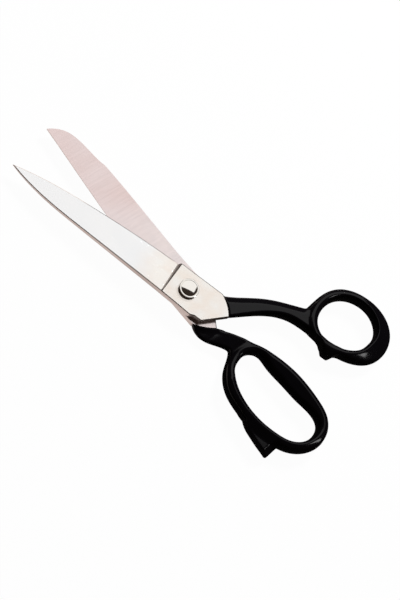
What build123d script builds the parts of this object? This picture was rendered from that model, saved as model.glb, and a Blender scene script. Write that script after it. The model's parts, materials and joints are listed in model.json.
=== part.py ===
from build123d import *
from math import cos, radians, sin
import os

# Bent-handle fabric shears, about 254 mm long closed, lying on their side on a table.
#
# Each half is a forged steel blade with a tang, and a cast, black-enamelled handle on that tang. The finger
# half lies underneath, with the broad blade and the long four-finger bow. The thumb half lies on top, with
# the narrow pointed blade and the small oval bow. One screw and its lock nut join them.
#
# Frame: the origin is on the pivot axis where the screw's end rests on the table, +X runs from the blade
# tips towards the handles, +Y towards the thumb bow, +Z up, out of the screw's head. Millimetres.
# Both halves are drawn closed, along the blades' centre line, then moved to the pivot and turned apart.

# ---- the pose and the levels above the table ----
OPENING = 15.0              # degrees between the halves as they lie
LINE_X = 0.2                # where the blades' drawing lies from the pivot: the centre line
LINE_Y = 0.35               # of the closed blades passes a little to the thumb bow's side of it
NUT_THICKNESS = 1.6
WASHER_THICKNESS = 0.4      # both washers
FORGING_THICKNESS = 4.4     # steel at the joint, one half
FACE_GAP = 0.06             # air between the two inner faces
BOW_HEIGHT = 11.4           # both bows, from the table up
FINGER_OUTER_Z = NUT_THICKNESS + WASHER_THICKNESS
FINGER_INNER_Z = FINGER_OUTER_Z + FORGING_THICKNESS
THUMB_INNER_Z = FINGER_INNER_Z + FACE_GAP
THUMB_OUTER_Z = THUMB_INNER_Z + FORGING_THICKNESS

# ---- the pivot ----
SCREW_DIAMETER = 7.0
RUNNING_GAP = 0.03          # radial, where the thumb half turns on the screw
SEAT_GAP = 0.02             # radial, where the screw stays still in a piece
HEAD_DIAMETER = 12.4
HEAD_HEIGHT = 2.0
HEAD_BEVEL = 1.4            # how wide the bevel round the head's flat top is
HEAD_BEVEL_HEIGHT = 0.6
HEAD_WASHER_DIAMETER = 11.6
NUT_ACROSS_FLATS = 10.0
NUT_WASHER_DIAMETER = 12.0

# ---- the blades, in the closed pose ----
THUMB_REACH = 130.4         # pivot to tip
THUMB_EDGE_OFFSET = 11.4    # centre line to cutting edge, at the shoulder
THUMB_SPINE_OFFSET = 12.0   # centre line to spine, at the shoulder
FINGER_REACH = 132.4
FINGER_EDGE_OFFSET = 11.0
FINGER_SPINE_OFFSET = 12.6
FINGER_BELLY_OFFSET = 14.5  # the broadest part, behind the clipped nose
TIP_Y = 0.8                 # where both tips meet
# Points of the curves between tip and shoulder: shares of the reach, and of the offset in question.
THUMB_EDGE_CURVE = [(0.77, 0.60), (0.54, 0.84), (0.31, 0.98)]
THUMB_SPINE_CURVE = [(0.92, 0.20), (0.77, 0.50), (0.61, 0.65), (0.31, 0.85)]
FINGER_EDGE_CURVE = [(0.76, 0.28), (0.53, 0.62), (0.30, 0.88)]
FINGER_NOSE_CURVE = [(0.98, 0.33), (0.94, 0.65), (0.87, 0.85)]
FINGER_BELLY_SHARE = 0.70
FINGER_BACK_CURVE = [(0.53, 0.98), (0.30, 0.91)]
SHOULDER_TURN = 2.0         # degrees that the shoulder is turned from square
SHOULDER_X = -12.8          # where the ground blade ends and the flat joint begins
SHOULDER_LEAN = 20.0        # degrees that its ground slope leans from upright
EDGE_THICKNESS = 0.9        # at the shoulder, beside the cutting edge
TIP_THICKNESS = 1.2
INNER_RELIEF = 0.12         # how far each blade's inner face stands back from the joint's

# ---- the joint plates and the tangs ----
THUMB_HEEL = [(8.7, -13.8), (11.8, -12.6), (16.7, -12.7)]     # the spine's end, a small step, the corner
THUMB_COLLAR = [(29.7, 0.4), (25.1, 6.2), (18.8, 10.6)]       # the arc on which the handle begins
FINGER_HEEL = [(8.7, 13.8), (11.8, 12.5), (16.0, 8.5)]
FINGER_COLLAR = [(28.7, -0.7), (23.4, -6.7), (17.0, -11.4)]
TANG_LENGTH = 20.0
TANG_WIDTH = 6.0
TANG_THICKNESS = 2.0
TANG_GAP = 0.05             # all round a tang, in its pocket
THUMB_TANG_TURN = 37.0      # degrees from +X
FINGER_TANG_TURN = 22.0

# ---- the thumb handle ----
THUMB_BOW = (94.0, 45.5)    # centre of the bow's hole
THUMB_HOLE_RADII = [19.0, 19.9, 18.8, 17.4, 16.7, 16.8, 17.6, 19.1, 18.9, 17.0, 16.8, 18.0]    # from +X round
THUMB_WALLS = [7.3, 6.9, 6.5, 5.8, 7.0, 9.9, 11.6, 10.3, 6.9]    # the ring's, at the same steps from -X back
THUMB_NOTCH = (67.5, 38.4)  # where the shank's upper side meets the bow
SHANK_TOP = [(30.0, 17.8), (39.9, 25.1), (49.6, 30.7), (59.7, 35.1)]
SHANK_UNDER = [(80.0, 25.5), (70.0, 25.9), (60.2, 24.5), (50.8, 19.5), (41.1, 11.4)]
STOP_LEAD = 0.6             # how far the stop lug stands before the bow's centre
STOP_WIDTH = 5.0            # across its blunt end
STOP_ROOT_LEFT = (-7.6, -21.1)    # from the bow's centre
STOP_ROOT_RIGHT = (4.9, -21.3)
STOP_GAP = 0.3              # left between the lug and the finger bow when the shears are closed
STOP_X = THUMB_BOW[0] - STOP_LEAD

# ---- the finger handle ----
BAR_TOP = 18.6              # the bow's upper bar over the centre line, below the stop
BAR_RISE = [(34.6, 3.2), (44.5, 8.3), (55.8, 12.8), (69.9, 16.9), (82.0, 18.7)]
BOW_END = [(104.0, 17.4), (113.4, 14.6), (119.9, 8.8), (123.2, 0.6), (122.2, -7.7), (116.6, -16.6)]
SPUR_NOTCH = (107.0, -22.8)
SPUR_TIP = (107.1, -32.9)
SPUR_EDGE = [(97.9, -32.1), (90.9, -31.1), (84.9, -29.7)]
SPUR_STEP = (81.3, -27.5)
BOW_UNDER = [(72.0, -26.9), (61.0, -24.1), (51.6, -16.6), (46.5, -7.8)]
FINGER_NOTCH = (43.8, -4.3)
SHANK_LOWER = [(36.2, -8.5), (30.7, -11.9), (26.0, -13.3), (20.9, -12.9)]
FINGER_HOLE = [
    (52.2, -2.0), (53.4, 3.7), (57.5, 7.4), (66.0, 7.3), (80.0, 7.4), (95.0, 8.0), (106.0, 9.0),
    (113.1, 6.7), (116.1, 0.0), (115.3, -6.4), (110.1, -13.4), (99.9, -18.0), (87.0, -20.3),
    (73.0, -19.4), (61.5, -15.4), (54.3, -9.1),
]

# ---- shared by both handles ----
SHANK_LEVEL_END = 31.0      # up to here the handles keep the joint's levels ...
BOW_LEVEL_START = 58.0      # ... and from here on they have the bows' height
NOTCH_RADIUS = 3.0
LUG_RADIUS = 1.5
TANG_ROOT = 3.0             # how far a tang's bar reaches back into the joint plate that it grows out of
PIERCE = 1.0                # how far a cutter runs past what it cuts
CUTTER = THUMB_REACH + FINGER_REACH    # the side of a cutter that is larger than the whole piece
FROM_BELOW = (Align.CENTER, Align.CENTER, Align.MIN)


def plate(curves, low, high):
    """A flat piece with the outline that the curves, end to end, go round."""
    return extrude(make_face(Wire(curves)), high - low).moved(Location((0, 0, low)))


def joint_outline(heel, collar, edge_end):
    """The curves round a joint plate, from the end of the spine round the collar to the cutting edge."""
    low, middle, high = collar
    return [*Polyline(*heel, low).edges(), ThreePointArc(low, middle, high), Line(high, edge_end)]


def between(curve, reach, offset):
    """The points of a blade's curve, at its size."""
    return [(-reach * along, offset * across) for along, across in curve]


def tongue(start, turn, gap, low, high):
    """A tang, or with a gap the pocket for it. low and high are the levels of its half's forging."""
    size = (TANG_ROOT + TANG_LENGTH + gap, TANG_WIDTH + 2 * gap, TANG_THICKNESS + 2 * gap)
    bar = Box(*size, align=(Align.MIN, Align.CENTER, Align.CENTER))
    return Pos(start[0], start[1], (low + high) / 2) * Rot(0, 0, turn) * Pos(-TANG_ROOT, 0, 0) * bar


def seated(piece):
    """A piece moved from the blades' centre line, where it is drawn, to its place round the pivot."""
    return Pos(LINE_X, LINE_Y, 0) * piece


def ahead_of_shoulder(side, outer, setback, lean):
    """The space on the blade's side of the shoulder, which slopes away from the joint's outer face."""
    space = Box(CUTTER, CUTTER, CUTTER, align=(Align.MAX, Align.CENTER, Align.CENTER))
    return Pos(SHOULDER_X - setback, 0, outer) * Rot(0, 0, -side * SHOULDER_TURN) * Rot(0, lean, 0) * space


def grind(side, inner, outward, reach, offsets):
    """What the grinding takes off a blade: its outer face slopes from the spine to the edge and the tip."""
    spine_offset, edge_offset = offsets
    outer = inner + outward * FORGING_THICKNESS
    spine = Vector(SHOULDER_X, -side * spine_offset, outer)
    edge = Vector(SHOULDER_X, side * edge_offset, inner + outward * EDGE_THICKNESS)
    tip = Vector(-reach, TIP_Y, inner + outward * TIP_THICKNESS)
    normal = (edge - spine).cross(tip - spine)
    if normal.Z * outward < 0:
        normal = -normal
    outside = Plane(spine, z_dir=normal) * Box(2 * CUTTER, 2 * CUTTER, CUTTER, align=FROM_BELOW)
    return outside & ahead_of_shoulder(side, outer, 0, outward * SHOULDER_LEAN)


def relief(side, inner, outward):
    """The thin layer taken off a blade's inner face, so that only the joint's faces meet."""
    away = Align.MAX if outward > 0 else Align.MIN
    layer = Box(2 * CUTTER, CUTTER, FORGING_THICKNESS, align=(Align.CENTER, Align.CENTER, away))
    return Pos(0, 0, inner + outward * INNER_RELIEF) * layer & ahead_of_shoulder(side, inner, PIERCE, 0)


def blade(side, outward, reach, offsets, curves, collar, turn, bore_radius):
    """One forged blade with its joint plate and tang.

    side says where its cutting edge faces, outward whether its outer face is up (1) or down (-1). offsets are
    the spine's and the edge's at the shoulder, and curves go all round the blade and the joint plate.
    """
    inner = THUMB_INNER_Z if outward > 0 else FINGER_INNER_Z
    low, high = sorted([inner, inner + outward * FORGING_THICKNESS])
    blank = plate(curves, low, high) + tongue(collar[1], turn, 0, low, high)
    ground = blank - grind(side, inner, outward, reach, offsets) - relief(side, inner, outward)
    return seated(ground) - Cylinder(bore_radius, 2 * (THUMB_OUTER_Z + PIERCE))


def thumb_blade():
    """The upper, narrow blade, with its cutting edge towards +Y."""
    edge = between(THUMB_EDGE_CURVE, THUMB_REACH, THUMB_EDGE_OFFSET)
    spine = between(THUMB_SPINE_CURVE, THUMB_REACH, -THUMB_SPINE_OFFSET)
    tip = (-THUMB_REACH, TIP_Y)
    edge_end = (SHOULDER_X, THUMB_EDGE_OFFSET)
    curves = [
        Spline(tip, *spine, (SHOULDER_X, -THUMB_SPINE_OFFSET), THUMB_HEEL[0]),
        *joint_outline(THUMB_HEEL, THUMB_COLLAR, edge_end),
        Spline(edge_end, *reversed(edge), tip),
    ]
    offsets = (THUMB_SPINE_OFFSET, THUMB_EDGE_OFFSET)
    bore_radius = SCREW_DIAMETER / 2 + RUNNING_GAP
    return blade(1, 1, THUMB_REACH, offsets, curves, THUMB_COLLAR, THUMB_TANG_TURN, bore_radius)


def finger_blade():
    """The lower, broad blade, with its cutting edge towards -Y and a nose that is clipped round."""
    edge = between(FINGER_EDGE_CURVE, FINGER_REACH, -FINGER_EDGE_OFFSET)
    nose = between(FINGER_NOSE_CURVE, FINGER_REACH, FINGER_BELLY_OFFSET)
    back = between(FINGER_BACK_CURVE, FINGER_REACH, FINGER_BELLY_OFFSET)
    tip = (-FINGER_REACH, TIP_Y)
    belly = (-FINGER_REACH * FINGER_BELLY_SHARE, FINGER_BELLY_OFFSET)
    edge_end = (SHOULDER_X, -FINGER_EDGE_OFFSET)
    curves = [
        Spline(tip, *nose, belly),
        Spline(belly, *back, (SHOULDER_X, FINGER_SPINE_OFFSET), FINGER_HEEL[0]),
        *joint_outline(FINGER_HEEL, FINGER_COLLAR, edge_end),
        Spline(edge_end, *reversed(edge), tip),
    ]
    offsets = (FINGER_SPINE_OFFSET, FINGER_EDGE_OFFSET)
    bore_radius = SCREW_DIAMETER / 2 + SEAT_GAP
    return blade(-1, -1, FINGER_REACH, offsets, curves, FINGER_COLLAR, FINGER_TANG_TURN, bore_radius)


def side_view(inner, outer):
    """A handle seen from the side: the joint's levels at the collar, spreading to the bow's height."""
    low, high = sorted([inner, outer])
    points = [
        (0, low), (SHANK_LEVEL_END, low), (BOW_LEVEL_START, 0), (CUTTER, 0),
        (CUTTER, BOW_HEIGHT), (BOW_LEVEL_START, BOW_HEIGHT), (SHANK_LEVEL_END, high), (0, high),
    ]
    return extrude(make_face(Plane.XZ * Polyline(*points, close=True)), CUTTER, both=True)


def handle(outline, hole, start, turn, inner, outer):
    """One handle: its outline and bow hole seen from above, its side view, and the pocket for the tang."""
    low, high = sorted([inner, outer])
    body = extrude(make_face(outline), BOW_HEIGHT)
    through = Pos(0, 0, -PIERCE) * extrude(make_face(hole), BOW_HEIGHT + 2 * PIERCE)
    shaped = (body - through) & side_view(inner, outer)
    return seated(shaped - tongue(start, turn, TANG_GAP, low, high))


def rounded_outline(curves, corners):
    """The wire that the curves make, with each (corner, radius) rounded off."""
    face = make_face(Wire(curves))
    for corner, radius in corners:
        vertex = face.vertices().sort_by_distance(corner)[0]
        face = fillet(vertex, radius)
    return face.face().outer_wire()


def beside(centre, offset):
    """The point at an offset from a bow's centre."""
    return (centre[0] + offset[0], centre[1] + offset[1])


def around(centre, radius, angle):
    """The point at a radius and an angle in degrees from a bow's centre."""
    return beside(centre, (radius * cos(radians(angle)), radius * sin(radians(angle))))


def thumb_handle():
    """The upper handle: a cranked shank, the small oval bow and the stop lug under it."""
    count = len(THUMB_HOLE_RADII)
    hole = [around(THUMB_BOW, radius, 360 * i / count) for i, radius in enumerate(THUMB_HOLE_RADII)]
    ring = []
    for i, wall in enumerate(THUMB_WALLS):
        step = count // 2 - i
        ring.append(around(THUMB_BOW, THUMB_HOLE_RADII[step] + wall, 360 * step / count))
    low, middle, high = THUMB_COLLAR
    root_left = beside(THUMB_BOW, STOP_ROOT_LEFT)
    root_right = beside(THUMB_BOW, STOP_ROOT_RIGHT)
    lug_y = BAR_TOP + STOP_GAP
    lug_left = (STOP_X - STOP_WIDTH / 2, lug_y)
    lug_right = (STOP_X + STOP_WIDTH / 2, lug_y)
    curves = [
        Spline(high, *SHANK_TOP, THUMB_NOTCH),
        Spline(THUMB_NOTCH, *ring, root_right),
        Line(root_right, lug_right),
        Line(lug_right, lug_left),
        Line(lug_left, root_left),
        Spline(root_left, *SHANK_UNDER, low),
        ThreePointArc(low, middle, high),
    ]
    corners = [
        (THUMB_NOTCH, NOTCH_RADIUS), (root_right, NOTCH_RADIUS), (root_left, NOTCH_RADIUS),
        (lug_right, LUG_RADIUS), (lug_left, LUG_RADIUS),
    ]
    outline = rounded_outline(curves, corners)
    hole = Spline(*hole, periodic=True)
    return handle(outline, hole, THUMB_COLLAR[1], THUMB_TANG_TURN, THUMB_INNER_Z, THUMB_OUTER_Z)


def finger_handle():
    """The lower handle: a short shank, the long bow and the finger rest that stands out below it."""
    low, middle, high = FINGER_COLLAR
    bar = (STOP_X, BAR_TOP)
    curves = [
        Spline(low, *BAR_RISE, bar, *BOW_END, SPUR_NOTCH),
        Line(SPUR_NOTCH, SPUR_TIP),
        Spline(SPUR_TIP, *SPUR_EDGE, SPUR_STEP),
        Spline(SPUR_STEP, *BOW_UNDER, FINGER_NOTCH),
        Spline(FINGER_NOTCH, *SHANK_LOWER, high),
        ThreePointArc(high, middle, low),
    ]
    corners = [(SPUR_NOTCH, LUG_RADIUS), (SPUR_TIP, LUG_RADIUS), (FINGER_NOTCH, LUG_RADIUS)]
    outline = rounded_outline(curves, corners)
    hole = Spline(*FINGER_HOLE, periodic=True)
    return handle(outline, hole, FINGER_COLLAR[1], FINGER_TANG_TURN, FINGER_INNER_Z, FINGER_OUTER_Z)


def pivot_screw():
    """The screw: a bevelled round head, and a shank that ends flush with the nut, on the table."""
    seat = THUMB_OUTER_Z + WASHER_THICKNESS
    radius = HEAD_DIAMETER / 2
    wall = HEAD_HEIGHT - HEAD_BEVEL_HEIGHT
    shank = Cylinder(SCREW_DIAMETER / 2, seat, align=FROM_BELOW)
    drum = Pos(0, 0, seat) * Cylinder(radius, wall, align=FROM_BELOW)
    bevel = Pos(0, 0, seat + wall) * Cone(radius, radius - HEAD_BEVEL, HEAD_BEVEL_HEIGHT, align=FROM_BELOW)
    return shank + drum + bevel


def washer(diameter, base, gap):
    """A flat washer on the screw."""
    ring = Cylinder(diameter / 2, WASHER_THICKNESS, align=FROM_BELOW)
    hole = Cylinder(SCREW_DIAMETER / 2 + gap, WASHER_THICKNESS, align=FROM_BELOW)
    return Pos(0, 0, base) * (ring - hole)


def lock_nut():
    """The thin hexagon nut on the table side."""
    blank = extrude(RegularPolygon(NUT_ACROSS_FLATS / 2, 6, major_radius=False), NUT_THICKNESS)
    return blank - Cylinder(SCREW_DIAMETER / 2 + SEAT_GAP, NUT_THICKNESS, align=FROM_BELOW)


thumb_turn = Rot(0, 0, OPENING / 2)
finger_turn = Rot(0, 0, -OPENING / 2)
pieces = {
    "thumb_blade": thumb_turn * thumb_blade(),
    "thumb_handle": thumb_turn * thumb_handle(),
    "finger_blade": finger_turn * finger_blade(),
    "finger_handle": finger_turn * finger_handle(),
    "pivot_screw": pivot_screw(),
    "head_washer": washer(HEAD_WASHER_DIAMETER, THUMB_OUTER_Z, RUNNING_GAP),
    "lock_washer": washer(NUT_WASHER_DIAMETER, NUT_THICKNESS, SEAT_GAP),
    "lock_nut": lock_nut(),
}
os.makedirs("parts", exist_ok=True)
for name, piece in pieces.items():
    export_step(piece, f"parts/{name}.step")
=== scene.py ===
"""The looks of a pair of bent-handle fabric shears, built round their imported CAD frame.

Two forged steel blades turn on one screw. Each carries a cast handle under baked black enamel: a small oval
bow for the thumb on the upper half, and a long bow with a finger rest on the lower half. Lengths in this file
are in millimetres and angles in degrees, and MM turns a length into Blender's metres.
"""

import json
import logging
import math
from contextlib import contextmanager
from dataclasses import dataclass
from enum import Enum
from typing import Iterable, Iterator

import bmesh
import bpy
import numpy as np
from bmesh.types import BMEdge, BMesh
from bpy.types import Material, Node, NodeSocket, NodeTree, Object
from mathutils import Matrix, Vector

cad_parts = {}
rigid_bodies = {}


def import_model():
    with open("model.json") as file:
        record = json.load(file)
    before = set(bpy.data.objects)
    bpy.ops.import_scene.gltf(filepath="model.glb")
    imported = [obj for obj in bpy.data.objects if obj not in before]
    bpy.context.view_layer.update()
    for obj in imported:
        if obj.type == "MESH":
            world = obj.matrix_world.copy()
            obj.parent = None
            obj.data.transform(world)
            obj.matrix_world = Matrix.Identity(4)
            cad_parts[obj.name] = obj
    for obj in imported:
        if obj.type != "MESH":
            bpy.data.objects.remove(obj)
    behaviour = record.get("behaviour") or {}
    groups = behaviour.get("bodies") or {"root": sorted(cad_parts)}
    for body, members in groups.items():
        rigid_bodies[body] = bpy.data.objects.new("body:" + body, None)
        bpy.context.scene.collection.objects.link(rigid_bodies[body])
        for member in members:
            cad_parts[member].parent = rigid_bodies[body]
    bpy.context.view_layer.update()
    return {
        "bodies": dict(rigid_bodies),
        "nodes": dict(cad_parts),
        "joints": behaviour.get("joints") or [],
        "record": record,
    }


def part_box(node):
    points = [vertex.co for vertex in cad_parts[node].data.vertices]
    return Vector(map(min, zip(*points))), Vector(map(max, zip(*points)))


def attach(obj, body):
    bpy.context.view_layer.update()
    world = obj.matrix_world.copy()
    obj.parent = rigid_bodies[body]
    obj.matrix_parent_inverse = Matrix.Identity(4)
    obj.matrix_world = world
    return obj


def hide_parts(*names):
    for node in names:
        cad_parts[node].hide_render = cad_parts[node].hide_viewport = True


MM = 0.001
Pair = tuple[float, float]  # two numbers that belong together, such as a start and an end
Rows = np.ndarray  # an array, mostly with a row or a number for each point
Both = tuple[Rows, Rows]  # the same for the under face and for the upper one
LOG = logging.getLogger("shears")


# ---- small helpers ----


def linear(code: str) -> tuple[float, float, float, float]:
    """Turn an sRGB hex colour into the linear RGBA that a shader socket takes.

    Args:
        code: Six hex digits, such as "f0ece4".

    Returns:
        The linear red, green and blue, with an alpha of 1.
    """
    channels = [int(code[i:i + 2], 16) / 255 for i in (0, 2, 4)]
    values = [c / 12.92 if c <= 0.04045 else ((c + 0.055) / 1.055) ** 2.4 for c in channels]
    return (values[0], values[1], values[2], 1.0)


def add_node(tree: NodeTree, kind: str, inputs: dict | None = None, **settings: str) -> Node:
    """Add one shader node.

    Args:
        tree: The node tree that gets the node.
        kind: The node's type, such as "TexNoise".
        inputs: What each input takes, by its name or index: a constant, or the output socket that feeds it.
        **settings: Attributes to set on the node.

    Returns:
        The new node.
    """
    node = tree.nodes.new(f"ShaderNode{kind}")
    for name, value in settings.items():
        setattr(node, name, value)
    for name, value in (inputs or {}).items():
        if isinstance(value, NodeSocket):
            tree.links.new(value, node.inputs[name])
        else:
            node.inputs[name].default_value = value
    return node


def new_material(name: str) -> tuple[Material, NodeTree, Node]:
    """Make an empty node material.

    Args:
        name: The material's name.

    Returns:
        The material, its tree and its output node.
    """
    material = bpy.data.materials.new(name)
    material.use_nodes = True
    tree = material.node_tree
    tree.nodes.clear()
    return material, tree, tree.nodes.new("ShaderNodeOutputMaterial")


def select_only(piece: Object) -> None:
    """Deselect everything, then make one piece selected and active.

    Args:
        piece: The piece.
    """
    bpy.ops.object.select_all(action="DESELECT")
    piece.select_set(True)
    bpy.context.view_layer.objects.active = piece


def apply_modifier(piece: Object, kind: str, **settings: object) -> None:
    """Add one modifier to a piece and apply it.

    Args:
        piece: The piece to change.
        kind: The modifier's type, such as "REMESH".
        **settings: Attributes to set on the modifier.
    """
    select_only(piece)
    modifier = piece.modifiers.new(kind.title(), kind)
    for name, value in settings.items():
        setattr(modifier, name, value)
    bpy.ops.object.modifier_apply(modifier=modifier.name)


@contextmanager
def editing(piece: Object, kind: str = "") -> Iterator[BMesh]:
    """Open a piece's mesh for editing, and close it after the block.

    Args:
        piece: The piece to edit.
        kind: What the block selects, "EDGE" or "FACE": nothing is selected at first. Without it, all is.

    Yields:
        The mesh.
    """
    select_only(piece)
    bpy.ops.object.mode_set(mode="EDIT")
    if kind:
        bpy.ops.mesh.select_mode(type=kind)
    bpy.ops.mesh.select_all(action="DESELECT" if kind else "SELECT")
    yield bmesh.from_edit_mesh(piece.data)
    bpy.ops.object.mode_set(mode="OBJECT")


def copy_of(node: Object, name: str) -> Object:
    """Copy a CAD node as a new piece, with its loose triangles merged.

    Args:
        node: The CAD node's object.
        name: The new piece's name.

    Returns:
        The copy, which rides on nothing yet.
    """
    same_place = 0.002  # vertices nearer than this are one
    piece = bpy.data.objects.new(name, node.data.copy())
    piece.data.name = name
    bpy.context.collection.objects.link(piece)
    with editing(piece):
        bpy.ops.mesh.remove_doubles(threshold=same_place * MM)
    return piece


def vertices_of(piece: Object) -> Rows:
    """Read a piece's vertices.

    Args:
        piece: The piece.

    Returns:
        Rows of x, y and z, in millimetres.
    """
    flat = np.empty(len(piece.data.vertices) * 3)
    piece.data.vertices.foreach_get("co", flat)
    return flat.reshape(-1, 3) / MM


def write_vertices(piece: Object, points: Rows) -> None:
    """Move a piece's vertices to the points given in millimetres."""
    piece.data.vertices.foreach_set("co", (points * MM).ravel())
    piece.data.update()


def lathe(name: str, profile: list[Pair], segments: int, corner: float = 20.0) -> Object:
    """Raise a round piece about the pivot's axis, with one extrusion and one scaling for each step.

    Args:
        name: The piece's name.
        profile: Its radius and level at each step, from the lowest circle to the top one.
        segments: How many sides it has.
        corner: The least angle between its faces that shows as a corner.

    Returns:
        The closed piece, smooth except at its corners.
    """
    bpy.ops.object.select_all(action="DESELECT")
    radius, level = profile[0]
    bpy.ops.mesh.primitive_circle_add(vertices=segments, radius=radius * MM, fill_type="NGON")
    piece = bpy.context.active_object
    piece.name = piece.data.name = name
    with editing(piece):
        bpy.ops.transform.translate(value=(0, 0, level * MM))
        for next_radius, next_level in profile[1:]:
            rise = (0, 0, (next_level - level) * MM)
            bpy.ops.mesh.extrude_region_move(TRANSFORM_OT_translate={"value": rise})
            growth = next_radius / radius
            bpy.ops.transform.resize(value=(growth, growth, 1), center_override=(0, 0, 0))
            radius, level = next_radius, next_level
        bpy.ops.mesh.select_all(action="SELECT")
        bpy.ops.mesh.normals_make_consistent(inside=False)
    bpy.ops.object.shade_smooth_by_angle(angle=math.radians(corner))
    return piece


def turned(points: Rows, angle: float) -> Rows:
    """Turn points about the pivot's axis.

    Args:
        points: Rows of x and y, with or without z.
        angle: The turn, anticlockwise from above.

    Returns:
        The turned points, in a new array.
    """
    sine, cosine = math.sin(math.radians(angle)), math.cos(math.radians(angle))
    result = points.copy()
    result[:, 0] = cosine * points[:, 0] - sine * points[:, 1]
    result[:, 1] = sine * points[:, 0] + cosine * points[:, 1]
    return result


def ease(values: Rows, start: float, end: float) -> Rows:
    """Rise smoothly from 0 at start to 1 at end."""
    share = np.clip((values - start) / (end - start), 0, 1)
    return share * share * (3 - 2 * share)


def ramp(values: Rows, soft: float) -> Rows:
    """Follow the larger of 0 and the value, with the corner rounded over about that length."""
    return (values + np.sqrt(values * values + soft * soft)) / 2


def between(start: Rows | float, end: Rows | float, share: Rows) -> Rows:
    """Go from start to end by a share of the way."""
    return start + (end - start) * share


# ---- finishes ----


@dataclass(frozen=True)
class BlackEnamel:
    """Baked black enamel on a casting: dipped, so it is glossy and a little wavy, and rounds every edge."""

    name: str = "black_enamel"
    colour: str = "08070a"
    roughness: float = 0.13
    ior: float = 1.33
    wave_size: float = 7.0  # how far apart the coat's slow waves are
    wave_height: float = 0.03

    def material(self) -> Material:
        """Build the enamel: near black, with slow waves that make the highlights wander.

        Returns:
            The material.
        """
        material, tree, output = new_material(self.name)
        place = add_node(tree, "TexCoord").outputs["Object"]
        scale = 1 / (self.wave_size * MM)
        waves = add_node(tree, "TexNoise", {"Vector": place, "Scale": scale, "Detail": 1.0})
        bump = add_node(tree, "Bump", {"Height": waves.outputs["Fac"], "Distance": self.wave_height * MM})
        shader = add_node(tree, "BsdfPrincipled", {
            "Base Color": linear(self.colour), "Roughness": self.roughness, "IOR": self.ior,
            "Normal": bump.outputs["Normal"],
        })
        tree.links.new(shader.outputs["BSDF"], output.inputs["Surface"])
        return material


@dataclass(frozen=True)
class Steel:
    """Bright steel, ground or plated: cloudy, a little warmer by the joint, and streaked by the wheel.
    Its pink and cream tints, and their change by the joint, are painted reflection of the warm room.
    """

    name: str
    colour: str
    shade: str  # the slightly darker colour of its cloudy patches
    roughness: float
    metallic: float = 1.0  # less where fine scratches scatter some light all ways
    near_reflection_colour: str = ""  # the same two colours round the joint, a painted reflection of the room's warm cast there; none where they are no different
    near_reflection_shade: str = ""
    near_reach: Pair = (21.0, 42.0)  # how far they go from the pivot, and fade
    cloud_size: float = 25.0
    near_cloud_size: float = 9.0
    streak_pitch: float = 0.0  # between grinding lines, drawn coarse enough to show; 0 for none
    streak_height: float = 0.0
    streak_share: float = 0.0  # how much the lines darken the colour
    streak_turn: float = 0.0  # the direction that the lines run in
    streak_length: float = 20.0  # over their pitch
    spread: Pair = (0.35, 0.65)  # the noise's range that the two colours are stretched over

    def material(self) -> Material:
        """Build the steel: cloudy colour, even roughness and, where ground, its fine lines.

        Returns:
            The material.
        """
        material, tree, output = new_material(self.name)
        place = add_node(tree, "TexCoord").outputs["Object"]
        colour = self.clouds(tree, place, self.colour, self.shade, self.cloud_size)
        # round the joint the colours carry a painted reflection of the warm room
        if self.near_reflection_colour:
            near = self.clouds(tree, place, self.near_reflection_colour, self.near_reflection_shade, self.near_cloud_size)
            distance = add_node(tree, "VectorMath", {0: place}, operation="LENGTH").outputs["Value"]
            away = add_node(tree, "MapRange", {
                0: distance, 1: self.near_reach[0] * MM, 2: self.near_reach[1] * MM,
            }, interpolation_type="SMOOTHSTEP")
            colour = add_node(
                tree, "Mix", {0: away.outputs[0], 6: near, 7: colour}, data_type="RGBA"
            ).outputs[2]
        shader = add_node(tree, "BsdfPrincipled", {"Metallic": self.metallic, "Roughness": self.roughness})
        if self.streak_pitch:
            along = add_node(tree, "Mapping", {
                "Vector": place, "Rotation": (0, 0, math.radians(self.streak_turn)),
                "Scale": (self.streak_length, 1, 1),
            }, vector_type="TEXTURE")
            streaks = add_node(tree, "TexNoise", {
                "Vector": along.outputs["Vector"], "Scale": 1 / (self.streak_pitch * MM), "Detail": 2.0,
            }).outputs["Fac"]
            bump = add_node(tree, "Bump", {"Height": streaks, "Distance": self.streak_height * MM})
            tree.links.new(bump.outputs["Normal"], shader.inputs["Normal"])
            dark = add_node(tree, "MapRange", {
                0: streaks, 1: self.spread[0], 2: self.spread[1], 3: 1 - self.streak_share,
                4: 1 + self.streak_share,
            })
            colour = add_node(
                tree, "VectorMath", {0: colour, 3: dark.outputs[0]}, operation="SCALE"
            ).outputs[0]
        tree.links.new(colour, shader.inputs["Base Color"])
        tree.links.new(shader.outputs["BSDF"], output.inputs["Surface"])
        return material

    def clouds(
        self, tree: NodeTree, place: NodeSocket, colour: str, shade: str, size: float
    ) -> NodeSocket:
        """Add cloudy patches of two colours.

        Args:
            tree: The material's nodes.
            place: The coordinates that the clouds are laid out on.
            colour: The lighter colour.
            shade: The darker one.
            size: How large the clouds are.

        Returns:
            The colour that they make.
        """
        clouds = add_node(tree, "TexNoise", {"Vector": place, "Scale": 1 / (size * MM), "Detail": 2.0})
        spread = add_node(tree, "MapRange", {
            0: clouds.outputs["Fac"], 1: self.spread[0], 2: self.spread[1],
        })
        mixed = add_node(tree, "Mix", {
            0: spread.outputs[0], 6: linear(shade), 7: linear(colour),
        }, data_type="RGBA")
        return mixed.outputs[2]


# ---- cast handles ----


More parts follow.
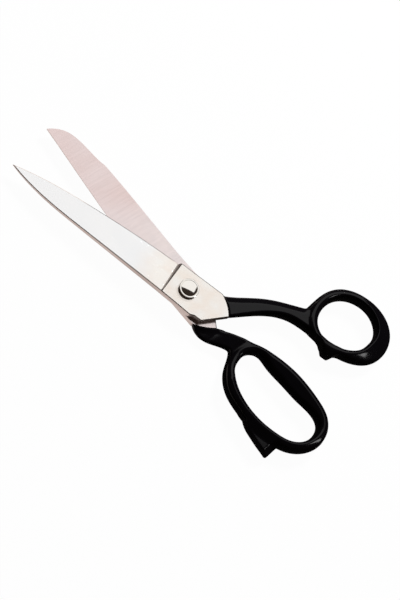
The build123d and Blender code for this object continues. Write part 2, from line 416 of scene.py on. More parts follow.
@dataclass(frozen=True)
class Edge:
    """Straight pieces of an outline, seen from above. A row of starts and ends holds one piece."""

    starts: Rows
    ends: Rows

    def distance(self, points: Rows) -> Rows:
        """Measure how far each point is from the nearest piece.

        Args:
            points: Rows of x and y.

        Returns:
            One distance for each point.
        """
        best = np.full(len(points), np.inf)
        for start, end in zip(self.starts, self.ends):
            along = end - start
            share = np.clip((points - start) @ along / (along @ along), 0, 1)
            gap = points - start - share[:, None] * along
            best = np.minimum(best, np.einsum("ij,ij->i", gap, gap))
        return np.sqrt(best)

    def holds(self, points: Rows) -> Rows:
        """Tell which points a closed outline goes round.

        Args:
            points: Rows of x and y.

        Returns:
            True for each point inside.
        """
        inside = np.zeros(len(points), bool)
        for (x0, y0), (x1, y1) in zip(self.starts, self.ends):
            if y0 != y1:
                crosses = (points[:, 1] < y0) != (points[:, 1] < y1)
                inside ^= crosses & (points[:, 0] < x0 + (points[:, 1] - y0) * (x1 - x0) / (y1 - y0))
        return inside

    def part(self, keep: Rows) -> "Edge":
        """Take only some of the pieces."""
        return Edge(self.starts[keep], self.ends[keep])

    def normals(self) -> Rows:
        """Work out each piece's unit normal.

        Returns:
            Rows of x and y, to the right of the piece's direction.
        """
        along = self.ends - self.starts
        across = np.stack([along[:, 1], -along[:, 0]], axis=1)
        return across / np.linalg.norm(across, axis=1)[:, None]


class Field:
    """A quantity over a handle's plan, worked out once on a grid and read anywhere between."""

    def __init__(self, low: Rows, high: Rows, pitch: float) -> None:
        """Lay the grid out.

        Args:
            low: The grid's corner with the least x and y.
            high: The opposite one.
            pitch: The distance between its lines.
        """
        self.low = low
        self.pitch = pitch
        self.shape = tuple(np.ceil((high - low) / pitch).astype(int) + 1)
        across, along = np.meshgrid(*[np.arange(n) * pitch for n in self.shape], indexing="ij")
        self.places = np.stack([across.ravel(), along.ravel()], axis=1) + low

    def read(self, values: Rows, points: Rows) -> Rows:
        """Read the grid's values at points, between its lines in proportion.

        Args:
            values: One value for each place of the grid.
            points: Rows of x and y.

        Returns:
            One value for each point.
        """
        place = (points - self.low) / self.pitch
        cell = np.clip(np.floor(place).astype(int), 0, np.array(self.shape) - 2)
        share = np.clip(place - cell, 0, 1)
        table = values.reshape(self.shape)
        i, j = cell[:, 0], cell[:, 1]
        u, v = share[:, 0], share[:, 1]
        near = table[i, j] * (1 - v) + table[i, j + 1] * v
        far = table[i + 1, j] * (1 - v) + table[i + 1, j + 1] * v
        return near * (1 - u) + far * u


@dataclass(frozen=True)
class Place:
    """Where points lie on a handle's plan: their coordinates, and what holds there."""

    x: Rows
    y: Rows
    from_rim: Rows
    from_collar: Rows
    from_hole: Rows
    from_upper_rim: Rows  # the stretch of rim that faces +Y
    ridge: Rows  # how far from the hole the ridge round it is
    rounding: Rows  # how wide the rim's rounding is ...
    fullness: Rows  # ... and how full


class Half(Enum):
    """The two halves of the shears, with the way each is turned from the closed centre line."""

    THUMB = 1
    FINGER = -1


@dataclass
class CastHandle:
    """One enamelled handle: a shank that starts at the steel collar, and the bow for thumb or fingers.

    The casting's plan is the CAD handle's. Its section is drawn here: edges that round down to the waist, a
    ridge a little way from the bow's hole, and a surface that slopes away from the ridge.
    """

    half: Half
    level_low: float  # the shank's lower and upper face, at the collar
    level_high: float
    turn: float  # how far the half is turned from the closed centre line
    bow_height: float
    level_end: float = 31.2  # where the shank stops being level ...
    bow_start: float = 58.2  # ... and where the bow's full height begins, from the pivot
    # How wide the outer rim's rounding is, on the shank and on the bow.
    upper_rounding: Pair = (2.6, 1.8)
    lower_rounding: Pair = (1.3, 2.3)
    crisp_rounding: float = 1.1  # ... at the lug or the finger rest, and beside the collar
    hole_rounding: float = 3.1  # ... at the bow's hole, on the under face
    hole_share: float = 0.9  # ... on the upper face there, as a share of the way to the ridge ...
    hole_most: float = 4.0  # ... and at most
    narrow: float = 0.8  # what is left level between two roundings, where the casting is narrow
    narrow_rounding: float = 0.6  # the rim's there, at least
    collar_rounding: float = 0.4  # ... and where the enamel ends at the steel
    crisp_run: Pair = (-3.0, 8.0)  # from the lug's or the rest's tip along its crisp side
    crisp_reach: Pair = (4.5, 9.0)  # how far from there the crispness goes, and fades
    collar_fade: float = 5.0
    ridge: float = 3.7  # from the hole to the ridge round it, at the mean ...
    ridge_skew: Pair = (0.9, 0.0)  # ... and how much less on its +X and +Y side
    ridge_softness: float = 0.6
    least_slope: float = 1.5  # the width that the slope beyond the ridge has at least
    fall: float = 0.46  # the slope away from the ridge, at the mean ...
    fall_growth: float = 0.25  # ... and how much less it is at the ridge, and more at the rim
    # How full the rounding is: 1 is a flat bevel, 2 an ellipse, more is squarer.
    shank_fullness: float = 1.6
    bow_fullness: float = 2.25
    crisp_fullness: float = 3.0
    thinnest_shank: float = 0.7  # half the least thickness
    thinnest_bow: float = 1.9
    waist_softness: float = 0.4  # how gradually the casting stops getting thinner
    grain: float = 0.42  # the finished mesh's spacing ...
    first_grain: float = 1.4  # ... and how many times coarser the first one is
    longest_move: float = 1.0  # a vertex goes no further at one step
    reach: float = 33.0  # no part of the collar is further from the pivot
    # How squarely the collar faces the pivot at least, and the upper rim +Y, from 0 to 1 ...
    collar_facing: float = 0.35
    upper_facing: float = 0.25
    upper_side: Pair = (0.0, 0.6)  # ... and where its rounding takes over from the lower rim's
    pitch: float = 0.3  # between the lines of the plan's grid ...
    margin: float = 3.0  # ... which goes this far past the rim

    def __post_init__(self) -> None:
        """Name the node and the body that this handle belongs to."""
        self.node = f"{self.half.name.lower()}_handle"
        self.body = f"{self.half.name.lower()}_half"

    def build(self, frame: dict) -> Object:
        """Model the casting.


        Returns:
            The finished handle, in its place.
        """
        casting = copy_of(frame["nodes"][self.node], f"enamelled_{self.node}")
        self.keep_top(casting)
        self.read_plan(casting)
        self.fill(casting)
        self.draw(casting, rounds=10)
        apply_modifier(casting, "REMESH", mode="VOXEL", voxel_size=self.grain * MM)
        self.draw(casting, rounds=4)
        apply_modifier(casting, "SMOOTH", factor=0.5, iterations=3)
        select_only(casting)
        bpy.ops.object.shade_smooth()
        return casting

    def keep_top(self, casting: Object) -> None:
        """Cut the casting down to its upper surface, which has the outline of its plan.

        Args:
            casting: The copy of the CAD handle.
        """
        upward = 0.5
        mesh = bmesh.new()
        mesh.from_mesh(casting.data)
        mesh.normal_update()
        seed = max((f for f in mesh.faces if f.normal.z > upward), key=lambda f: f.calc_center_median().z)
        found, edge = {seed}, [seed]
        while edge:
            face = edge.pop()
            for other in {f for e in face.edges for f in e.link_faces} - found:
                if other.normal.z > upward:
                    found.add(other)
                    edge.append(other)
        bmesh.ops.delete(mesh, geom=[f for f in mesh.faces if f not in found], context="FACES")
        mesh.to_mesh(casting.data)
        mesh.free()

    def read_plan(self, casting: Object) -> None:
        """Read the outline and the hole from the upper surface, and work out the distances from them.

        Args:
            casting: The casting's upper surface.
        """
        points = turned(vertices_of(casting), -self.turn)[:, :2]
        mesh = bmesh.new()
        mesh.from_mesh(casting.data)
        starts, ends = [], []
        for edge in mesh.edges:
            if len(edge.link_faces) == 1:
                loop = edge.link_loops[0]
                starts.append(points[loop.vert.index])
                ends.append(points[loop.link_loop_next.vert.index])
        mesh.free()
        outline = Edge(np.array(starts), np.array(ends))
        hole, rim = self.loops(outline)
        # The collar is the stretch of rim near the pivot that faces it.
        middles = (rim.starts + rim.ends) / 2
        reach = np.linalg.norm(middles, axis=1)
        facing = -np.einsum("ij,ij->i", rim.normals(), middles) / reach
        at_collar = (facing > self.collar_facing) & (reach < self.reach)
        self.hole_centre = (hole.starts.min(axis=0) + hole.starts.max(axis=0)) / 2
        self.field = Field(
            rim.starts.min(axis=0) - self.margin, rim.starts.max(axis=0) + self.margin, self.pitch
        )
        places = self.field.places
        rim_gap = rim.part(~at_collar).distance(places)
        collar_gap = rim.part(at_collar).distance(places)
        outside = ~rim.holds(places)
        self.tip = min(rim.starts[rim.starts[:, 0] > self.bow_start], key=lambda point: point[1])
        upper = ~at_collar & (rim.normals()[:, 1] > self.upper_facing)
        self.maps = {
            "from_rim": np.where(outside & (rim_gap < collar_gap), -rim_gap, rim_gap),
            "from_collar": np.where(outside & (collar_gap <= rim_gap), -collar_gap, collar_gap),
            "from_hole": np.where(hole.holds(places), -1, 1) * hole.distance(places),
            "from_upper_rim": rim.part(upper).distance(places),
        }
        away = places - self.hole_centre
        away /= np.maximum(np.linalg.norm(away, axis=1), self.field.pitch)[:, None]
        self.maps["ridge"] = self.ridge - away @ np.array(self.ridge_skew)
        self.plan_roundings()

    def plan_roundings(self) -> None:
        """Work out how wide and how full the rim's rounding is over the plan."""
        places = self.field.places
        bow = ease(places[:, 0], self.level_end, self.bow_start)
        from_rim = self.maps["from_rim"].reshape(self.field.shape)
        upper = ease(-np.gradient(from_rim, self.field.pitch, axis=1).ravel(), *self.upper_side)
        widths = [between(*width, bow) for width in (self.lower_rounding, self.upper_rounding)]
        crisp_side = Edge(self.tip[None], self.tip[None] + self.crisp_run)
        soft = ease(crisp_side.distance(places), *self.crisp_reach)
        fullness = between(self.shank_fullness, self.bow_fullness, bow)
        self.maps["fullness"] = between(self.crisp_fullness, fullness, soft)
        soft = soft * ease(np.abs(self.maps["from_collar"]), 0.0, self.collar_fade)
        self.maps["rounding"] = between(self.crisp_rounding, between(*widths, upper), soft)

    def loops(self, outline: Edge) -> tuple[Edge, Edge]:
        """Sort the outline's pieces by the loop that they belong to.

        Args:
            outline: All the pieces.

        Returns:
            The hole's pieces and the rim's, which is the longest loop.
        """
        order = {tuple(np.round(start, 4)): i for i, start in enumerate(outline.starts)}
        left = set(range(len(outline.starts)))
        chains = []
        while left:
            i = min(left)
            chain = []
            while i in left:
                left.remove(i)
                chain.append(i)
                i = order.get(tuple(np.round(outline.ends[i], 4)), -1)
            chains.append(outline.part(np.array(chain)))
        chains.sort(key=lambda chain: np.ptp(chain.starts[:, 0]))
        return chains[-2], chains[-1]

    def fill(self, casting: Object) -> None:
        """Make the plan a solid of the bow's height with an even mesh, and squeeze its shank to its levels.

        Args:
            casting: The casting's upper surface.
        """
        flat = vertices_of(casting)
        flat[:, 2] = 0
        write_vertices(casting, flat)
        apply_modifier(casting, "SOLIDIFY", thickness=self.bow_height * MM, offset=1.0)
        apply_modifier(casting, "REMESH", mode="VOXEL", voxel_size=self.first_grain * self.grain * MM)
        points = vertices_of(casting)
        share = (points[:, 2] - points[:, 2].min()) / np.ptp(points[:, 2])
        points[:, 2] = between(*self.levels(turned(points, -self.turn)), share)
        write_vertices(casting, points)

    def levels(self, points: Rows) -> Both:
        """Give the casting's lowest and highest level at each point, before its surface is shaped."""
        share = np.clip((points[:, 0] - self.level_end) / (self.bow_start - self.level_end), 0, 1)
        return self.level_low * (1 - share), between(self.level_high, self.bow_height, share)

    def place(self, points: Rows) -> Place:
        """Look up where points lie on the plan."""
        read = {name: self.field.read(values, points[:, :2]) for name, values in self.maps.items()}
        return Place(x=points[:, 0], y=points[:, 1], **read)

    def ring_drop(self, place: Place) -> Rows:
        """Slope away from the ridge round the hole, to the same level at the rim wherever the ridge lies.

        Args:
            place: Where the points lie on the plan.

        Returns:
            How far the surface lies below the ridge.
        """
        width = place.from_hole + place.from_rim
        slope = np.maximum(width - place.ridge, self.least_slope)
        past = ramp(place.from_hole - place.ridge, self.ridge_softness)
        share = (width - self.ridge) / slope
        growth = self.fall_growth * (np.minimum(past / slope, 1) - 1)
        return self.fall * share * past * (1 + growth)

    def drops(self, place: Place) -> Both:
        """Give how far the under face and the upper face lie inside the casting's full height."""
        raise NotImplementedError

    def excess(self, points: Rows) -> Rows:
        """Measure how far outside the casting's surface points lie, roughly.

        Args:
            points: Rows of x, y and z, with the handle unturned.

        Returns:
            A number for each that is 0 on the surface, below 0 in it and above 0 outside it.
        """
        place = self.place(points)
        low, high = self.levels(points)
        under, over = self.drops(place)
        low, high = low + under, high - over
        bow = ease(place.x, self.level_end, self.bow_start)
        thinnest = between(self.thinnest_shank, self.thinnest_bow, bow)
        half = thinnest + ramp((high - low) / 2 - thinnest, self.waist_softness)
        height = points[:, 2] - (low + high) / 2
        power = place.fullness
        total = (np.abs(height) / half) ** power
        at_hole = np.minimum(self.hole_share * place.ridge, self.hole_most)
        left = np.maximum(place.from_hole + place.from_rim - at_hole - self.narrow, self.narrow_rounding)
        at_rim = np.minimum(place.rounding, left)
        for gap, width in (
            (place.from_rim, np.where(height > 0, at_rim, place.rounding)),
            (place.from_hole, np.where(height > 0, at_hole, self.hole_rounding)),
            (place.from_collar, self.collar_rounding),
        ):
            total += np.clip(1 - gap / width, 0, None) ** power
        return total ** (1 / power) - 1

    def draw(self, casting: Object, rounds: int) -> None:
        """Draw the mesh onto the casting's surface, a step at a time.

        Args:
            casting: The piece to shape.
            rounds: How many steps to take.
        """
        step = 0.05  # over which the slope is measured
        flat, tiny = 1e-4, 1e-9  # the least slope and the least move, so that nothing is divided by 0
        points = turned(vertices_of(casting), -self.turn)
        for _ in range(rounds):
            here = self.excess(points)
            slope = np.empty_like(points)
            for axis in range(3):
                shifted = points.copy()
                shifted[:, axis] += step
                slope[:, axis] = (self.excess(shifted) - here) / step
            length = np.einsum("ij,ij->i", slope, slope)
            move = -slope * (here / np.maximum(length, flat))[:, None]
            size = np.linalg.norm(move, axis=1)
            move *= np.minimum(1, self.longest_move / np.maximum(size, tiny))[:, None]
            points += move
        write_vertices(casting, turned(points, self.turn))

    def dress(self, casting: Object, enamel: Material) -> None:
        """Give the handle its enamel and put it in the CAD handle's stead.

        Args:
            casting: The finished handle.
            enamel: Its finish.
        """
        casting.data.materials.clear()
        casting.data.materials.append(enamel)
        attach(casting, self.body)
        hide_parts(self.node)


@dataclass
class ThumbHandle(CastHandle):
    """The upper handle: its shank has a flat top face, which ends at the ring round the thumb's hole."""

    upper_rounding: Pair = (1.3, 1.8)
    ridge: float = 3.1
    ridge_skew: Pair = (1.5, 1.5)
    shelf: float = 5.0  # from the shank's upper edge to its flat face, which falls away there
    shelf_fall: float = 0.4
    shelf_start: float = 1.5  # it begins within this much of the collar ...
    shelf_end: Pair = (8.0, 14.0)  # ... and ends here, past the bow's start ...
    shelf_gap: Pair = (4.5, 7.5)  # ... or as near as this to the hole
    softness: float = 0.3  # how gradually the shelf and the lug's under face begin
    facet_drop: float = 0.85  # how far the flat face lies below the ring's ridge
    lug_drop: float = 3.0  # how far the stop lug's flat face does ...
    lug_under: float = 1.2  # ... and how far its under face lies above the ring's
    lug_reach: Pair = (5.0, 9.0)  # how far from the lug's tip that goes, and fades
    facet_end: float = 12.0  # the flat face falls away from this far before the hole's centre ...
    facet_end_fall: float = 0.6  # ... so steeply ...
    facet_end_softness: float = 2.0  # ... and so gradually

    def drops(self, place: Place) -> Both:
        """Slope away from the ring's ridge, down to the shank's flat face and the lug.

        Args:
            place: Where the points lie on the plan.

        Returns:
            How far the under face and the upper face lie inside the casting's full height.
        """
        beyond = place.x - self.hole_centre[0] + self.facet_end
        facet = self.facet_drop * ease(place.x, self.level_end, self.bow_start)
        facet += self.facet_end_fall * ramp(beyond, self.facet_end_softness)
        both = np.minimum(np.minimum(self.ring_drop(place), facet), self.lug_drop)
        start, end = (self.bow_start + past for past in self.shelf_end)
        off_ring = ease(place.from_hole, *self.shelf_gap) * (1 - ease(place.x, start, end))
        shelf = self.shelf_fall * ramp(self.shelf - place.from_upper_rim, self.softness)
        shelf *= off_ring * ease(place.from_collar, 0.0, self.shelf_start)
        from_tip = np.hypot(place.x - self.tip[0], place.y - self.tip[1])
        at_lug = 1 - ease(from_tip, *self.lug_reach)
        return both - at_lug * ramp(both - self.lug_under, self.softness), both + shelf


@dataclass
class FingerHandle(CastHandle):
    """The lower handle: a ridge along its upper edge, and a surface that slopes from there to the hole."""

    upper_rounding: Pair = (0.9, 0.6)
    lower_rounding: Pair = (1.3, 2.0)
    crisp_run: Pair = (-22.0, 3.5)
    bevel: Pair = (1.0, 2.3)  # how wide the upper edge's bevel is, at shank and bar
    bevel_run: Pair = (38.0, 60.0)  # ... and where it widens, along X
    bevel_start: Pair = (3.0, 10.0)  # how far from the collar it begins
    bevel_fall: float = 0.5
    bevel_softness: float = 0.15
    land: float = 1.3  # how wide the level ridge inside the bevel is
    land_softness: float = 0.2
    bar_fall: float = 0.27  # the slope from there to the hole
    bar_start: Pair = (50.0, 60.0)  # where the ridge crosses to the upper edge, along X ...
    bar_end: Pair = (-2.0, 18.0)  # ... and back, along Y, from the hole's centre
    bow_run: Pair = (44.0, 52.0)  # where the bow's slopes begin, along X
    shank_fall: Pair = (0.085, 0.18)  # the slope down from the shank's upper edge ...
    shank_run: Pair = (28.0, 42.0)  # ... and where it grows, along X
    shank_softness: float = 0.3
    shank_start: float = 4.0  # it begins within this much of the collar
    rest_under: float = 2.3  # how far the finger rest's under face lies above the ring's ...
    rest_drop: float = 2.6  # ... and its flat upper face below
    rest_bevel: float = 3.1  # how wide the bevel beside the rest's outer side is
    rest_fall: float = 0.85
    rest_fade: Pair = (6.0, 12.0)  # how far from the rest's tip that bevel fades, along Y

    def drops(self, place: Place) -> Both:
        """Slope down to both sides of the ridge, which runs from round the hole to the bar's upper edge.

        Args:
            place: Where the points lie on the plan.

        Returns:
            How far the under face and the upper face lie inside the casting's full height.
        """
        bevel = between(*self.bevel, ease(place.x, *self.bevel_run))
        inside = place.from_upper_rim - bevel
        on_bar = ease(place.x, *self.bar_start) * ease(place.y - self.hole_centre[1], *self.bar_end)
        at_edge = place.from_hole + place.from_rim - bevel - self.land / 2
        beyond = place.from_hole - place.ridge - np.maximum(at_edge - place.ridge, 0) * on_bar
        inner = self.bar_fall * on_bar * ramp(-beyond - self.land / 2, self.land_softness)
        outer = self.fall * (1 - on_bar) * ramp(beyond, self.ridge_softness)
        on_bow = ease(place.x, *self.bow_run)
        under = on_bow * np.minimum(inner + outer, self.rest_under)
        over = on_bow * np.minimum(inner + outer, self.rest_drop)
        fall = np.interp(ease(place.x, *self.shank_run), (0, 1), self.shank_fall)
        off_bow = 1 - ease(place.x, self.bow_run[0], self.bow_start)
        tilt = fall * ramp(inside, self.shank_softness) * off_bow
        edge = self.bevel_fall * ramp(-inside, self.bevel_softness)
        edge = edge * ease(place.from_collar, *self.bevel_start)
        over += tilt * ease(place.from_collar, 0.0, self.shank_start) + edge
        beside_tip = place.x - self.tip[0] + self.rest_bevel
        start, end = (self.tip[1] + past for past in self.rest_fade)
        at_rest = 1 - ease(place.y, start, end)
        return under, over + self.rest_fall * ramp(beside_tip, self.land_softness) * at_rest


# ---- blades and pivot ----


@dataclass
class ForgedBlade:
    """One forged blade with its joint plate: the CAD shape, with its sharp corners ground off a little."""

    half: Half
    chamfer_width: float = 0.45  # along the outer face's border ...
    chamfer_depth: float = 0.25
    corner: float = 0.05  # ... and how much the corners that are left are broken
    speck: float = 0.02  # the least edge that is left in the mesh
    same_turn: float = 0.4  # faces that turn by less than this are one
    corner_turn: float = 40.0  # ... and by more than this have a corner between them
    # How far a face's normal rises: a flat face's at least, a side's and a chamfer's at most ...
    flat: float = 0.9
    steep: float = 0.5
    level: float = 0.98
    hollow: float = 0.9995  # ... and the hollow-ground face's at least
    foot_rise: float = 0.1  # the shoulder's foot climbs by less than this share of its length ...
    foot_turn: float = 20.0  # ... and is folded inwards by more than this
    flat_turn: float = 0.5  # degrees from face to face that show as a corner, beside a flat face ...
    side_turn: float = 22.0  # ... and on the sides
    broken_from: float = 14.0  # past here, along X, the inner face's border is broken ...
    broken: float = 0.8  # ... by this much
    broken_rise: float = 0.2  # how far the broken border's normal rises at least
    bare_facing: float = 0.3  # how squarely the bare end faces away from the collar at least

    def __post_init__(self) -> None:
        """Name the node and the body that this blade belongs to."""
        self.node = f"{self.half.name.lower()}_blade"
        self.body = f"{self.half.name.lower()}_half"

    def build(self, frame: dict) -> Object:
        """Copy the forging and break its corners.


        Returns:
            The finished blade, in its place.
        """
        blade = copy_of(frame["nodes"][self.node], f"forged_{self.node}")
        with editing(blade):
            bpy.ops.mesh.dissolve_limited(angle_limit=math.radians(self.same_turn))
        self.chamfer(blade, self.half.value)
        self.break_border(blade)
        apply_modifier(
            blade, "BEVEL", width=self.corner * MM, segments=1, limit_method="ANGLE",
            angle_limit=math.radians(self.corner_turn),
        )
        with editing(blade):
            bpy.ops.mesh.remove_doubles(threshold=self.speck * MM)
            bpy.ops.mesh.dissolve_degenerate(threshold=self.speck * MM)
        self.sharpen(blade)
        return blade

    def sharpen(self, blade: Object) -> None:
        """Shade the curved sides smooth, and keep the flat faces flat up to their borders.

        Args:
            blade: The blade.
        """
        select_only(blade)
        bpy.ops.object.shade_smooth()
        with editing(blade, "EDGE") as mesh:
            for edge in mesh.edges:
                angle = math.degrees(edge.calc_face_angle(0.0))
                flat = any(abs(face.normal.z) > self.flat for face in edge.link_faces)
                edge.select_set(angle > (self.flat_turn if flat else self.side_turn))
            bmesh.update_edit_mesh(blade.data)
            bpy.ops.mesh.mark_sharp()

    def chamfer(self, blade: Object, side: int) -> None:
        """Draw the outer faces in by the chamfer's width, and lower their old border by its depth.

        Args:
            blade: The blade.
            side: 1 where its outer faces are its upper ones, -1 where they are its lower ones.
        """
        with editing(blade, "FACE") as mesh:
            for face in mesh.faces:
                face.select_set(face.normal.z * side > self.flat)
            bmesh.update_edit_mesh(blade.data)
            bpy.ops.mesh.inset(thickness=self.chamfer_width * MM, use_even_offset=True)
            for vertex in bmesh.from_edit_mesh(blade.data).verts:
                rises = [face.normal.z * side for face in vertex.link_faces]
                at_border = max(rises) > self.flat and min(rises) < self.steep
                if at_border and not any(map(self.at_foot, vertex.link_edges)):
                    vertex.co.z -= side * self.chamfer_depth * MM
            bmesh.update_edit_mesh(blade.data)

    def at_foot(self, edge: BMEdge) -> bool:
        """Tell whether an edge is the foot of the shoulder: level, and folded inwards."""
        level = abs(edge.verts[0].co.z - edge.verts[1].co.z) < self.foot_rise * edge.calc_length()
        return level and math.degrees(edge.calc_face_angle_signed(0.0)) < -self.foot_turn

    def break_border(self, blade: Object) -> None:
        """Grind the inner face's border off at the joint plate's bare end, which faces away from the collar.

        Args:
            blade: The blade.
        """
        inward = -self.half.value
        with editing(blade, "EDGE") as mesh:
            for edge in mesh.edges:
                wall, level = sorted(edge.link_faces, key=lambda face: face.normal.z * inward)
                at_end = min(vertex.co.x for vertex in edge.verts) > self.broken_from * MM
                upright = abs(wall.normal.z) < self.bare_facing
                bare = upright and wall.normal.y * inward > self.bare_facing
                edge.select_set(at_end and bare and level.normal.z * inward > self.flat)
            bmesh.update_edit_mesh(blade.data)
            bpy.ops.mesh.bevel(offset=self.broken * MM, segments=1, affect="EDGES")

    def dress(
        self, blade: Object, ground: Material, inner: Material, side: Material, plated: Material
    ) -> None:
        """Give each kind of face its finish, and put the blade in the CAD blade's stead.

        Args:
            blade: The finished blade.
            ground: The outer faces' finish.
            inner: The inner, hollow-ground face's.
            side: The sides'.
            plated: The chamfers' and the broken border's.
        """
        blade.data.materials.clear()
        for material in (ground, inner, side, plated):
            blade.data.materials.append(material)
        for face in blade.data.polygons:
            rise = face.normal.z * -self.half.value
            at_end = face.center.x > self.broken_from * MM
            if -self.level < rise < -self.steep or (at_end and self.broken_rise < rise < self.level):
                face.material_index = 3
            elif abs(rise) < self.steep:
                face.material_index = 2
            else:
                face.material_index = 1 if rise > self.hollow else 0
        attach(blade, self.body)
        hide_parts(self.node)


@dataclass
class PivotScrew:
    """The pivot's screw: a round head with a level rim and a slightly domed middle, and a plain shank."""

    shank_radius: float = 3.5
    wall: float = 1.6  # the head's, up to its level rim
    rim_width: float = 1.15
    corner: float = 0.18  # how much the head's upper corner is rounded ...
    under_corner: float = 0.1  # ... and its lower one broken
    lead: float = 0.3  # ... and the shank's end
    groove: float = 0.25  # the width and depth of the groove round the domed middle
    dome_radius: float = 34.5
    dome_steps: int = 12
    segments: int = 128

    def build(self) -> Object:
        """Model the screw from its end on the table to the top of its head.

        Returns:
            The finished screw, in its place.
        """
        low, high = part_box("pivot_screw")
        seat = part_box("head_washer")[1].z / MM
        radius = high.x / MM
        rim = seat + self.wall
        dome = radius - self.rim_width
        middle = 0.3 * self.corner  # the rounding's middle lies this far inside the corner
        profile = [
            (self.shank_radius - self.lead, low.z / MM), (self.shank_radius, low.z / MM + self.lead),
            (self.shank_radius, seat), (radius - self.under_corner, seat), (radius, seat + self.under_corner),
            (radius, rim - self.corner), (radius - middle, rim - middle),
            (radius - self.corner, rim), (dome + self.groove, rim), (dome, rim - self.groove), (dome, rim),
        ]
        edge = math.asin(dome / self.dome_radius)
        for i in range(1, self.dome_steps):
            angle = edge * (1 - i / self.dome_steps)
            rise = self.dome_radius * (math.cos(angle) - math.cos(edge))
            profile.append((self.dome_radius * math.sin(angle), rim + rise))
        return lathe("bright_pivot_screw", profile, self.segments)

    def dress(self, screw: Object, plated: Material) -> None:
        """Give the screw its plating and put it in the CAD screw's stead.

        Args:
            screw: The finished screw.
            plated: Its finish.
        """
        screw.data.materials.append(plated)
        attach(screw, "finger_half")
        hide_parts("pivot_screw")


# ---- studio ----


@dataclass(frozen=True)
class Lamp:
    """One soft light that faces the shears."""

    name: str
    azimuth: float  # its direction from +Y, anticlockwise from above ...
    zenith: float  # ... and from straight up
    distance: float
    width: float  # along the horizon
    height: float
    level: float  # its brightness as seen in a mirror, where 1 is white

    def hang(self) -> Object:
        """Hang the lamp in its place.

        Returns:
            Its object.
        """
        lamp = bpy.data.lights.new(self.name, "AREA")
        lamp.shape = "RECTANGLE"
        lamp.size, lamp.size_y = self.width * MM, self.height * MM
        lamp.energy = self.level * math.pi * lamp.size * lamp.size_y
        holder = bpy.data.objects.new(self.name, lamp)
        bpy.context.collection.objects.link(holder)
        side, up = math.radians(self.azimuth), math.radians(self.zenith)
        away = Vector((-math.sin(side) * math.sin(up), math.cos(side) * math.sin(up), math.cos(up)))
        holder.location = away * self.distance * MM
        holder.rotation_mode = "QUATERNION"
        holder.rotation_quaternion = away.to_track_quat("Z", "Y")
        return holder


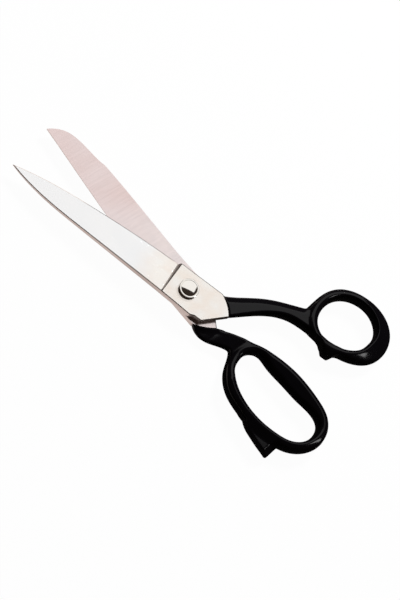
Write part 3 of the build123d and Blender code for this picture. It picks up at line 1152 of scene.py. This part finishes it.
@dataclass
class Studio:
    """A pale table under one large soft light from above and behind, and the camera."""

    tilt: float = 27.0  # how far the camera leans from straight above, towards -Y
    roll: float = 42.3
    distance: float = 1000.0
    aim: tuple[float, float, float] = (9.53, 2.03, 6.4)
    focal_length: float = 98.36
    sensor: float = 36.0
    table_size: float = 6000.0
    table_colour: str = "f2f2f2"  # as paint, which takes the shadows
    table_white: float = 0.975  # the share of plain white in the table, where the camera sees it
    # How brightly the table glows where the shears mirror it, as painted light. The enamel mirrors the part
    # that would be in its own shadow, so there the glow is a painted shadow.
    table_glow_in_steel: float = 0.85
    painted_table_shadow_in_enamel: float = 0.02
    # the warm tint of that glow, a painted reflection
    table_glow_colour: str = "ffefe9"
    steel_end: Pair = (12.0, 24.0)  # where the one changes to the other, along X
    room: float = 0.03  # the dim, warm light from everywhere
    room_colour: str = "ffdcc8"

    def build(self) -> None:
        """Set the table, the light and the camera."""
        self.set_table()
        self.set_world()
        self.set_lamps()
        self.set_camera()
        bpy.context.scene.view_settings.view_transform = "Standard"

    def set_table(self) -> None:
        """Lay the white table top at the level that the shears rest on.

        Where the shears mirror it, it glows as painted light: bright in the steel, and a painted shadow in
        the enamel.
        """
        bpy.ops.object.select_all(action="DESELECT")
        bpy.ops.mesh.primitive_plane_add(size=self.table_size * MM)
        table = bpy.context.active_object
        table.name = "table_top"
        material, tree, output = new_material("white_table")
        rays = add_node(tree, "LightPath").outputs
        paint = add_node(tree, "BsdfDiffuse", {"Color": linear(self.table_colour)})
        place = add_node(tree, "TexCoord").outputs["Object"]
        along = add_node(tree, "SeparateXYZ", {0: place}).outputs["X"]
        # painted light: the table's glow in reflections, bright beside the steel and a painted shadow beside
        # the enamel
        mirrored = add_node(tree, "MapRange", {
            0: along, 1: self.steel_end[0] * MM, 2: self.steel_end[1] * MM, 3: self.table_glow_in_steel,
            4: self.painted_table_shadow_in_enamel,
        }, interpolation_type="SMOOTHSTEP").outputs[0]
        strength = add_node(tree, "Mix", {0: rays["Is Glossy Ray"], 2: 1.0, 3: mirrored}).outputs[0]
        tint = add_node(tree, "Mix", {
            0: rays["Is Glossy Ray"], 6: linear("ffffff"), 7: linear(self.table_glow_colour),
        }, data_type="RGBA").outputs[2]
        glow = add_node(tree, "Emission", {"Color": tint, "Strength": strength}).outputs[0]
        white = add_node(
            tree, "Math", {0: rays["Is Camera Ray"], 1: self.table_white}, operation="MULTIPLY"
        ).outputs[0]
        share = add_node(tree, "Math", {0: white, 1: rays["Is Glossy Ray"]}, operation="MAXIMUM").outputs[0]
        mix = add_node(tree, "MixShader", {0: share, 1: paint.outputs[0], 2: glow})
        tree.links.new(mix.outputs[0], output.inputs["Surface"])
        table.data.materials.append(material)

    def set_world(self) -> None:
        """Fill the room with a dim light, white where the camera looks past the table."""
        world = bpy.data.worlds.new("studio")
        bpy.context.scene.world = world
        world.use_nodes = True
        tree = world.node_tree
        tree.nodes.clear()
        output = tree.nodes.new("ShaderNodeOutputWorld")
        seen = add_node(tree, "LightPath").outputs["Is Camera Ray"]
        room = add_node(tree, "Background", {"Color": linear(self.room_colour), "Strength": self.room})
        white = add_node(tree, "Background", {"Color": linear("ffffff"), "Strength": 1.0})
        mix = add_node(tree, "MixShader", {0: seen, 1: room.outputs[0], 2: white.outputs[0]})
        tree.links.new(mix.outputs[0], output.inputs["Surface"])

    def set_lamps(self) -> None:
        """Hang the wide light that the steel mirrors, the table's own, and the enamel's highlight."""
        window = Lamp("window", 20.0, 40.5, distance=4000.0, width=2900.0, height=2850.0, level=0.95)
        key = Lamp("key", 0.0, 50.0, distance=1500.0, width=350.0, height=350.0, level=75.0)
        spark = Lamp("spark", -69.0, 43.0, distance=1500.0, width=220.0, height=220.0, level=8.0)
        window.hang().visible_diffuse = False
        key.hang().visible_glossy = False
        spark.hang().visible_diffuse = False

    def set_camera(self) -> None:
        """Place the camera, leaning from straight above and rolled about its own line of sight."""
        camera = bpy.data.objects.new("camera", bpy.data.cameras.new("camera"))
        bpy.context.collection.objects.link(camera)
        camera.data.lens = self.focal_length
        camera.data.sensor_width = self.sensor
        tilt = Matrix.Rotation(math.radians(self.tilt), 4, "X")
        roll = Matrix.Rotation(math.radians(self.roll), 4, "Z")
        back = Matrix.Translation((0, 0, self.distance * MM))
        camera.matrix_world = Matrix.Translation(Vector(self.aim) * MM) @ tilt @ roll @ back
        bpy.context.scene.camera = camera


# ---- the shears ----


def main() -> None:
    """Build the shears and the studio, in order, and report each piece."""
    logging.basicConfig(level=logging.INFO, format="%(message)s")
    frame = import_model()
    opening = -frame["joints"][0]["range_deg"][0]
    enamel = BlackEnamel().material()
    # The steels' pink and cream tints, and their change by the joint, are painted reflection of the warm
    # room.
    ground = Steel("ground_steel", "f5f5f5", "f2f3f4", 0.1, 0.8, "f6f3ee", "f4ebe2").material()
    inner = Steel(
        "ground_inner_face", "e9dad9", "e5d1ce", 0.14, 0.85, "ede1df", "e7dddc", (25.0, 75.0),
        streak_pitch=1.0, streak_height=0.004, streak_share=0.025, streak_turn=75.0,
    ).material()
    side = Steel("linished_side", "e4dedb", "dcd4d0", 0.5).material()
    plated = Steel("plated_steel", "f6f3ee", "f3efe8", 0.06).material()

    bow_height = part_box("thumb_handle")[1].z / MM
    steel = {half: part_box(f"{half.name.lower()}_blade") for half in Half}
    pieces = []
    for kind, half in ((ThumbHandle, Half.THUMB), (FingerHandle, Half.FINGER)):
        low, high = steel[half]
        handle = kind(half, low.z / MM, high.z / MM, half.value * opening / 2, bow_height)
        pieces.append(handle.build(frame))
        handle.dress(pieces[-1], enamel)
    for half in Half:
        blade = ForgedBlade(half)
        pieces.append(blade.build(frame))
        blade.dress(pieces[-1], ground, inner, side, plated)
    pivot = PivotScrew()
    pieces.append(pivot.build())
    pivot.dress(pieces[-1], plated)
    for name in ("head_washer", "lock_washer", "lock_nut"):
        node = frame["nodes"][name]
        node.data.materials.clear()
        node.data.materials.append(plated)
        pieces.append(node)
    for piece in pieces:
        LOG.info("%s: %d faces", piece.name, len(piece.data.polygons))

    Studio().build()


if __name__ == "__main__":
    main()
